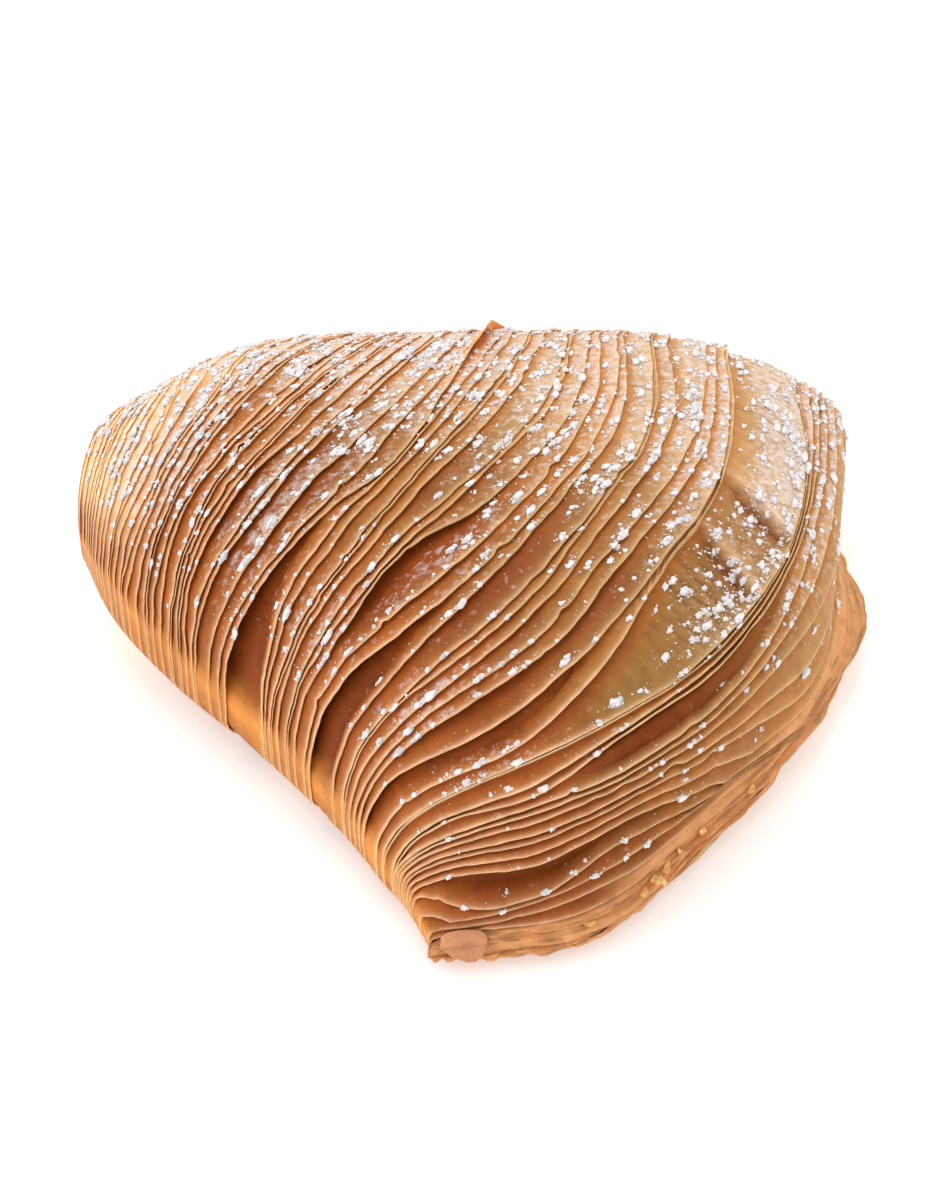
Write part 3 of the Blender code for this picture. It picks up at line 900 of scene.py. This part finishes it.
def scrap_faces():
    n = SCRAP_STEPS
    r, c = np.meshgrid(np.arange(n - 1), np.arange(n - 1), indexing="ij")
    first = (r * n + c).ravel()
    top = np.stack([first, first + 1, first + n + 1, first + n], axis=-1)
    bottom = top[:, ::-1] + n * n
    down = np.arange(2 * n - 1, n * n, n)
    back = np.arange(n * n - 2, n * n - n - 1, -1)
    up = np.arange(n * n - 2 * n, 0, -n)
    rim = np.concatenate([np.arange(n), down, back, up])
    after = np.roll(rim, -1)
    sides = np.stack([after, rim, rim + n * n, after + n * n], axis=-1)
    return np.concatenate([top, bottom, sides])


def make_scraps(name, scraps, ragged, tint, material):
    rng = np.random.default_rng(SEED + len(scraps))
    points = np.concatenate([scrap_points(scrap, ragged, rng) for scrap in scraps])
    each = 2 * SCRAP_STEPS**2
    faces = np.concatenate([scrap_faces() + k * each for k in range(len(scraps))])
    colour = tint * rng.uniform(0.90, 1.05, (len(points), 1))
    return make_object(name, points, faces, material, {"crust": colour})


# ==== Sugar ====

CLUMPS = 2300
BODIES = 2450  # soft heaps, at least one for each clump
LUMPS = 6600
GRAINS = 9500
HALO = 0.5  # the part of the grains that lies round the clumps
LUMP_RADII = (0.11, 0.24)
GRAIN_RADII = (0.05, 0.14)
BIT_ROUGHNESS = (0.75, 1.22)  # of each corner's radius
CROWN_RUN = (1.1, 1.8)  # turns over which sugar comes to lie as on the crown
RING_REACH = 30.0  # round a ring for each radian of turn, about the middle


class Surface(NamedTuple):
    """One leaf's outer surface, from under the leaf behind to its edge."""

    points: np.ndarray
    normals: np.ndarray
    width: np.ndarray  # of exposed leaf, at each turn
    sugar: np.ndarray


def subdivided(corners, faces):
    """A round solid with each of its triangles split into four."""
    points = list(corners)
    middles = {}

    def middle(a, b):
        key = (min(a, b), max(a, b))
        if key not in middles:
            middles[key] = len(points)
            points.append(normalised(corners[a] + corners[b]))
        return middles[key]

    split = []
    for a, b, c in faces:
        ab, bc, ca = middle(a, b), middle(b, c), middle(c, a)
        split += [(a, ab, ca), (b, bc, ab), (c, ca, bc), (ab, bc, ca)]
    return np.array(points), np.array(split)


def solid_points(kind):
    """Corners and triangles: a grain has 8 faces, a lump 20 and a body 80."""
    if kind in ("lump", "body"):
        g = (1 + math.sqrt(5)) / 2
        flat = [(-1, g, 0), (1, g, 0), (-1, -g, 0), (1, -g, 0)]
        corners = [corner[k:] + corner[:k] for k in (0, 2, 1) for corner in flat]
        faces = [(0, 11, 5), (0, 5, 1), (0, 1, 7), (0, 7, 10), (0, 10, 11)]
        faces += [(1, 5, 9), (5, 11, 4), (11, 10, 2), (10, 7, 6), (7, 1, 8)]
        faces += [(3, 9, 4), (3, 4, 2), (3, 2, 6), (3, 6, 8), (3, 8, 9)]
        faces += [(4, 9, 5), (2, 4, 11), (6, 2, 10), (8, 6, 7), (9, 8, 1)]
    else:
        corners = [(1, 0, 0), (-1, 0, 0), (0, 1, 0), (0, -1, 0), (0, 0, 1), (0, 0, -1)]
        faces = [(0, 2, 4), (2, 1, 4), (1, 3, 4), (3, 0, 4), (2, 0, 5), (1, 2, 5), (3, 1, 5), (0, 3, 5)]
    corners = normalised(np.array(corners, float))
    return subdivided(corners, faces) if kind == "body" else (corners, np.array(faces))


def seats(surfaces, leaf, along, column):
    """Points and normals at a place along each leaf and a place round its ring."""
    row = np.interp(along, PROFILE, np.arange(len(PROFILE)))
    row = np.clip(row, 0, len(PROFILE) - 1 - 1e-6)
    column = np.clip(column, 0, TOP_STEPS - 2)
    r, c = row.astype(int), column.astype(int)
    fr, fc = (row - r)[:, None], (column - c)[:, None]
    points = np.empty((len(leaf), 3))
    normals = np.empty((len(leaf), 3))
    for number in np.unique(leaf):
        mine = leaf == number
        for grid, out in ((surfaces[number].points, points), (surfaces[number].normals, normals)):
            a, b = r[mine], c[mine]
            x, y = fr[mine], fc[mine]
            here, ahead = (grid[a, k] * (1 - x) + grid[a + 1, k] * x for k in (b, b + 1))
            out[mine] = here * (1 - y) + ahead * y
    return points, normals


def scatter(surfaces, rng, count, spread_out):
    """Random places: near the free edges on the sides, and anywhere on the crown."""
    top = slice(0, TOP_STEPS)
    on_crown = ramp(ring_turns()[top], *CROWN_RUN)
    weight = np.array(
        [s.sugar[top] * s.width[top] ** (0.5 + 0.5 * on_crown)
         * ramp(s.normals[-1, top, 2], 0.15, 0.7) for s in surfaces]
    )
    picked = rng.choice(weight.size, count, p=weight.ravel() / weight.sum())
    leaf, column = np.unravel_index(picked, weight.shape)
    reach = spread_out + 0.5 * on_crown[column]
    back = np.abs(rng.normal(0, 1, count)) * reach
    return leaf, np.clip(1 - back % 1, 0.05, 1), column + rng.uniform(0, 1, count)


def build_bits(name, kind, centres, radii, rough, frames, material):
    """Many small solids as one piece; each has three radii, along its frame's axes."""
    corners, faces = solid_points(kind)
    shape = corners[None] * rough[..., None] * radii[:, None, :]
    shape = np.einsum("nij,nki->nkj", frames, shape)
    points = (centres[:, None, :] + shape).reshape(-1, 3)
    all_faces = (faces[None] + (np.arange(len(centres)) * len(corners))[:, None, None]).reshape(-1, 3)
    flipped = np.linalg.det(frames) < 0
    all_faces = np.where(np.repeat(flipped, len(faces))[:, None], all_faces[:, ::-1], all_faces)
    return make_object(name, points, all_faces, material)


def lying_frames(surfaces, seat, points, normals):
    """Frames whose first axis runs along the free edge and whose last stands on the crust."""
    leaf, along, column = seat
    ahead, _ = seats(surfaces, leaf, along, column + 1.5)
    tangent = ahead - points
    tangent = normalised(tangent - normals * (tangent * normals).sum(axis=1, keepdims=True))
    return np.stack([tangent, np.cross(normals, tangent), normals], axis=1)


def make_sugar(surfaces, material):
    rng = np.random.default_rng(SEED + 3)
    leaf, along, column = scatter(surfaces, rng, CLUMPS, 0.14)
    turns = ring_turns()
    on_crown = np.interp(column, np.arange(len(turns)), ramp(mirrored(turns), *CROWN_RUN))
    width = np.array([max(surfaces[k].width[int(c)], 0.5) for k, c in zip(leaf, column)])
    length = 0.26 + rng.gamma(1.3, 0.38, CLUMPS) * (0.85 + 0.4 * on_crown)  # along the ring
    share = length**1.6 / (length**1.6).sum()
    step = RING_REACH * np.gradient(turns[:TOP_STEPS])

    def near(clump, spread):
        """Places near the clumps, and how far off each lies."""
        off = rng.normal(0, 1, (2, len(clump))) * spread
        columns = column[clump] + off[0] * length[clump] / step[column[clump].astype(int)]
        places = along[clump] + off[1] * 0.55 * np.sqrt(length[clump]) / width[clump]
        return (leaf[clump], np.clip(places, 0.05, 1), columns), off

    def round_bits(name, kind, corners, centres, radii):
        rough = rng.uniform(*BIT_ROUGHNESS, (len(radii), corners))
        frames, _ = np.linalg.qr(rng.normal(size=(len(radii), 3, 3)))
        return build_bits(name, kind, centres, radii[:, None] * np.ones(3), rough, frames, material)

    more = rng.choice(CLUMPS, BODIES - CLUMPS, p=share)
    clump = np.concatenate([np.arange(CLUMPS), more])
    centred = np.where(np.arange(BODIES) < CLUMPS, 0.0, 0.55)
    seat, off = near(clump, centred)
    points, normals = seats(surfaces, *seat)
    frames = lying_frames(surfaces, seat, points, normals)
    size = np.clip(length[clump], 0.3, 1.6) * rng.uniform(0.75, 1.15, BODIES)
    radii = np.stack([0.68 * size, 0.22 + 0.20 * size, 0.09 + 0.11 * size], axis=1) * MM
    rough = 1 + 0.26 * rng.normal(size=(BODIES, 42)).clip(-2, 2)
    centres = points + normals * (0.35 * radii[:, 2:])
    bodies = build_bits("sugar_clumps", "body", centres, radii, rough, frames, material)

    clump = rng.choice(CLUMPS, LUMPS, p=share)
    seat, off = near(clump, 0.60)
    points, normals = seats(surfaces, *seat)
    middle = np.exp(-1.2 * (off**2).sum(axis=0))
    radii = rng.uniform(*LUMP_RADII, LUMPS) * (0.7 + 0.5 * middle) * MM
    heap = 0.20 * np.clip(length[clump], 0.3, 1.6) * MM
    centres = points + normals * (0.3 * radii + heap * middle * rng.uniform(0.4, 1.2, LUMPS))[:, None]
    lumps = round_bits("sugar_lumps", "lump", 12, centres, radii)

    round_clumps = int(GRAINS * HALO)
    halo, _ = near(rng.choice(CLUMPS, round_clumps, p=share), 1.1)
    loose = scatter(surfaces, rng, GRAINS - round_clumps, 0.38)
    seat = [np.concatenate(pair) for pair in zip(halo, loose)]
    points, normals = seats(surfaces, *seat)
    radii = rng.uniform(*GRAIN_RADII, GRAINS) * MM
    centres = points + normals * (0.4 * radii[:, None])
    grains = round_bits("sugar_grains", "grain", 6, centres, radii)
    return [bodies, lumps, grains]


# ==== Materials ====

SUGAR_COLOUR = (0.93, 0.88, 0.88, 1)
SUGAR_SHADE = (0.87, 0.79, 0.78, 1)
CRUST_RADIUS = (1.0, 0.55, 0.30)  # how far light travels inside, by colour
SUGAR_RADIUS = (1.0, 0.95, 0.9)
FLOOR_SHADER = {
    "Base Color": (0.92, 0.91, 0.90, 1),
    "Roughness": 0.6,
    "Emission Color": (1, 1, 1, 1),
    "Emission Strength": 0.30,
}
BLOTCHES_TO_TINT = {"From Min": 0.3, "From Max": 0.7, "To Min": 0.84, "To Max": 1.12}
POWDER_TO_COVER = {"From Min": 0.65, "From Max": 0.90, "To Min": 0.0, "To Max": 0.48}
DUST_HEAP = 0.30  # how much the dust adds to the powder's noise


def set_inputs(tree, node, inputs):
    """Gives a node its inputs, each one a plain value or another node's output."""
    for key, value in inputs.items():
        if isinstance(value, bpy.types.NodeSocket):
            tree.links.new(value, node.inputs[key])
        else:
            node.inputs[key].default_value = value


def surface(roughness, specular, weight, radius, scale):
    """A shader's inputs where some of the light goes in."""
    return {
        "Roughness": roughness,
        "Specular IOR Level": specular,
        "Subsurface Weight": weight,
        "Subsurface Radius": radius,
        "Subsurface Scale": scale,
    }


def make_node(tree, kind, inputs, output, **settings):
    """The output of a new node."""
    node = tree.nodes.new(f"ShaderNode{kind}")
    for key, value in settings.items():
        setattr(node, key, value)
    set_inputs(tree, node, inputs)
    return node.outputs[output]


def noise(tree, scale, detail, roughness=0.5):
    place = make_node(tree, "TexCoord", {}, "Object")
    inputs = {"Vector": place, "Scale": scale, "Detail": detail, "Roughness": roughness}
    return make_node(tree, "TexNoise", inputs, "Fac")


def bumps(tree, height, strength, distance):
    return make_node(tree, "Bump", {"Strength": strength, "Distance": distance, "Height": height}, "Normal")


def new_material(name, looks):
    material = bpy.data.materials.new(name)
    material.use_nodes = True
    tree = material.node_tree
    set_inputs(tree, tree.nodes["Principled BSDF"], looks(tree))
    return material


def crust_looks(tree):
    """The leaves' colours, with their painted shade, highlights and glow, with fine blotches and blisters,
    under a dusting of sugar.
    """
    colour = make_node(tree, "Attribute", {}, "Color", attribute_name="crust")
    dust = make_node(tree, "Attribute", {}, "Fac", attribute_name="dust")
    blotches = noise(tree, 420.0, 5.0, 0.6)
    tint = make_node(tree, "MapRange", {"Value": blotches, **BLOTCHES_TO_TINT}, "Result")
    blotched = make_node(tree, "VectorMath", {0: colour, "Scale": tint}, "Vector", operation="SCALE")
    heaped = {0: dust, 1: DUST_HEAP, 2: noise(tree, 800.0, 5.0, 0.65)}
    powder = make_node(tree, "Math", heaped, "Value", operation="MULTIPLY_ADD")
    cover = make_node(tree, "MapRange", {"Value": powder, **POWDER_TO_COVER}, "Result")
    sides = {"Factor": cover, "A": blotched, "B": SUGAR_COLOUR}
    sugared = make_node(tree, "Mix", sides, "Result", data_type="RGBA")
    blisters = bumps(tree, noise(tree, 1500.0, 3.0), 0.35, 0.0002)
    return {"Base Color": sugared, "Normal": blisters, **surface(0.5, 0.12, 0.3, CRUST_RADIUS, 0.0004)}


def sugar_looks(tree):
    sides = {"Factor": noise(tree, 3000.0, 3.0), "A": SUGAR_SHADE, "B": SUGAR_COLOUR}
    colour = make_node(tree, "Mix", sides, "Result", data_type="RGBA")
    crystals = bumps(tree, noise(tree, 6000.0, 2.0), 0.6, 0.0001)
    return {"Base Color": colour, "Normal": crystals, **surface(0.9, 0.2, 0.5, SUGAR_RADIUS, 0.0006)}


# ==== Studio ====

CAMERA_ELEVATION = math.radians(45)
CAMERA_DISTANCE = 0.490
CAMERA_LENS = 100
CAMERA_AIM = (1.0, 47.0, 18.0)  # in millimetres, in the sections' plan
FLOOR_HALF = 3.0
FLOOR_Z = -0.0002
LIGHT_SIZE = 0.8
LIGHT_AIM = Vector((0, 0, 0.02))
SKY_STRENGTH = 0.98


def make_floor():
    points = np.array([(-1, -1, 0), (1, -1, 0), (1, 1, 0), (-1, 1, 0)]) * FLOOR_HALF
    points[:, 2] = FLOOR_Z
    material = new_material("studio_floor", lambda tree: FLOOR_SHADER)
    floor = make_object("studio_floor", points, np.array([[0, 1, 2, 3]]), material, smooth=False)


def make_camera():
    data = bpy.data.cameras.new("camera")
    data.lens = CAMERA_LENS
    data.clip_start = 0.01
    camera = add_object("camera", data)
    aim = (Vector(CAMERA_AIM) + Vector(ORIGIN)) * MM
    back = Vector((0, -math.cos(CAMERA_ELEVATION), math.sin(CAMERA_ELEVATION)))
    camera.location = aim + back * CAMERA_DISTANCE
    camera.rotation_euler = (math.pi / 2 - CAMERA_ELEVATION, 0, 0)
    bpy.context.scene.camera = camera


def area_light(name, place, power):
    data = bpy.data.lights.new(name, "AREA")
    data.shape = "DISK"
    data.size = LIGHT_SIZE
    data.energy = power
    light = add_object(name, data)
    light.location = place
    light.rotation_euler = (LIGHT_AIM - Vector(place)).to_track_quat("-Z", "Y").to_euler()


def make_lights():
    world = bpy.data.worlds.new("studio")
    world.use_nodes = True
    background = world.node_tree.nodes["Background"]
    set_inputs(world.node_tree, background, {"Color": (1.0, 1.0, 1.0, 1), "Strength": SKY_STRENGTH})
    bpy.context.scene.world = world
    area_light("key", (-0.10, 0.50, 0.90), 3.0)
    area_light("fill", (-0.80, -0.05, 0.40), 1.2)


make_camera()
make_floor()
make_lights()
bpy.context.scene.view_settings.view_transform = "Standard"

crust = new_material("baked_crust", crust_looks)
sugar = new_material("icing_sugar", sugar_looks)
leaf_pieces, surfaces = make_leaves(crust)
crust_pieces = leaf_pieces + [
    make_core(crust),
    make_scraps("tip_flap", (FLAP,), 0.05, FLAP_PINK, crust),
    make_scraps("lip_flakes", FLAKES, 0.30, FLAKE_YELLOW, crust),
]
sugar_pieces = make_sugar(surfaces, sugar)
for piece in crust_pieces:
    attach(piece, "root")
    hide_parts("pastry")
for piece in sugar_pieces:
    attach(piece, "root")
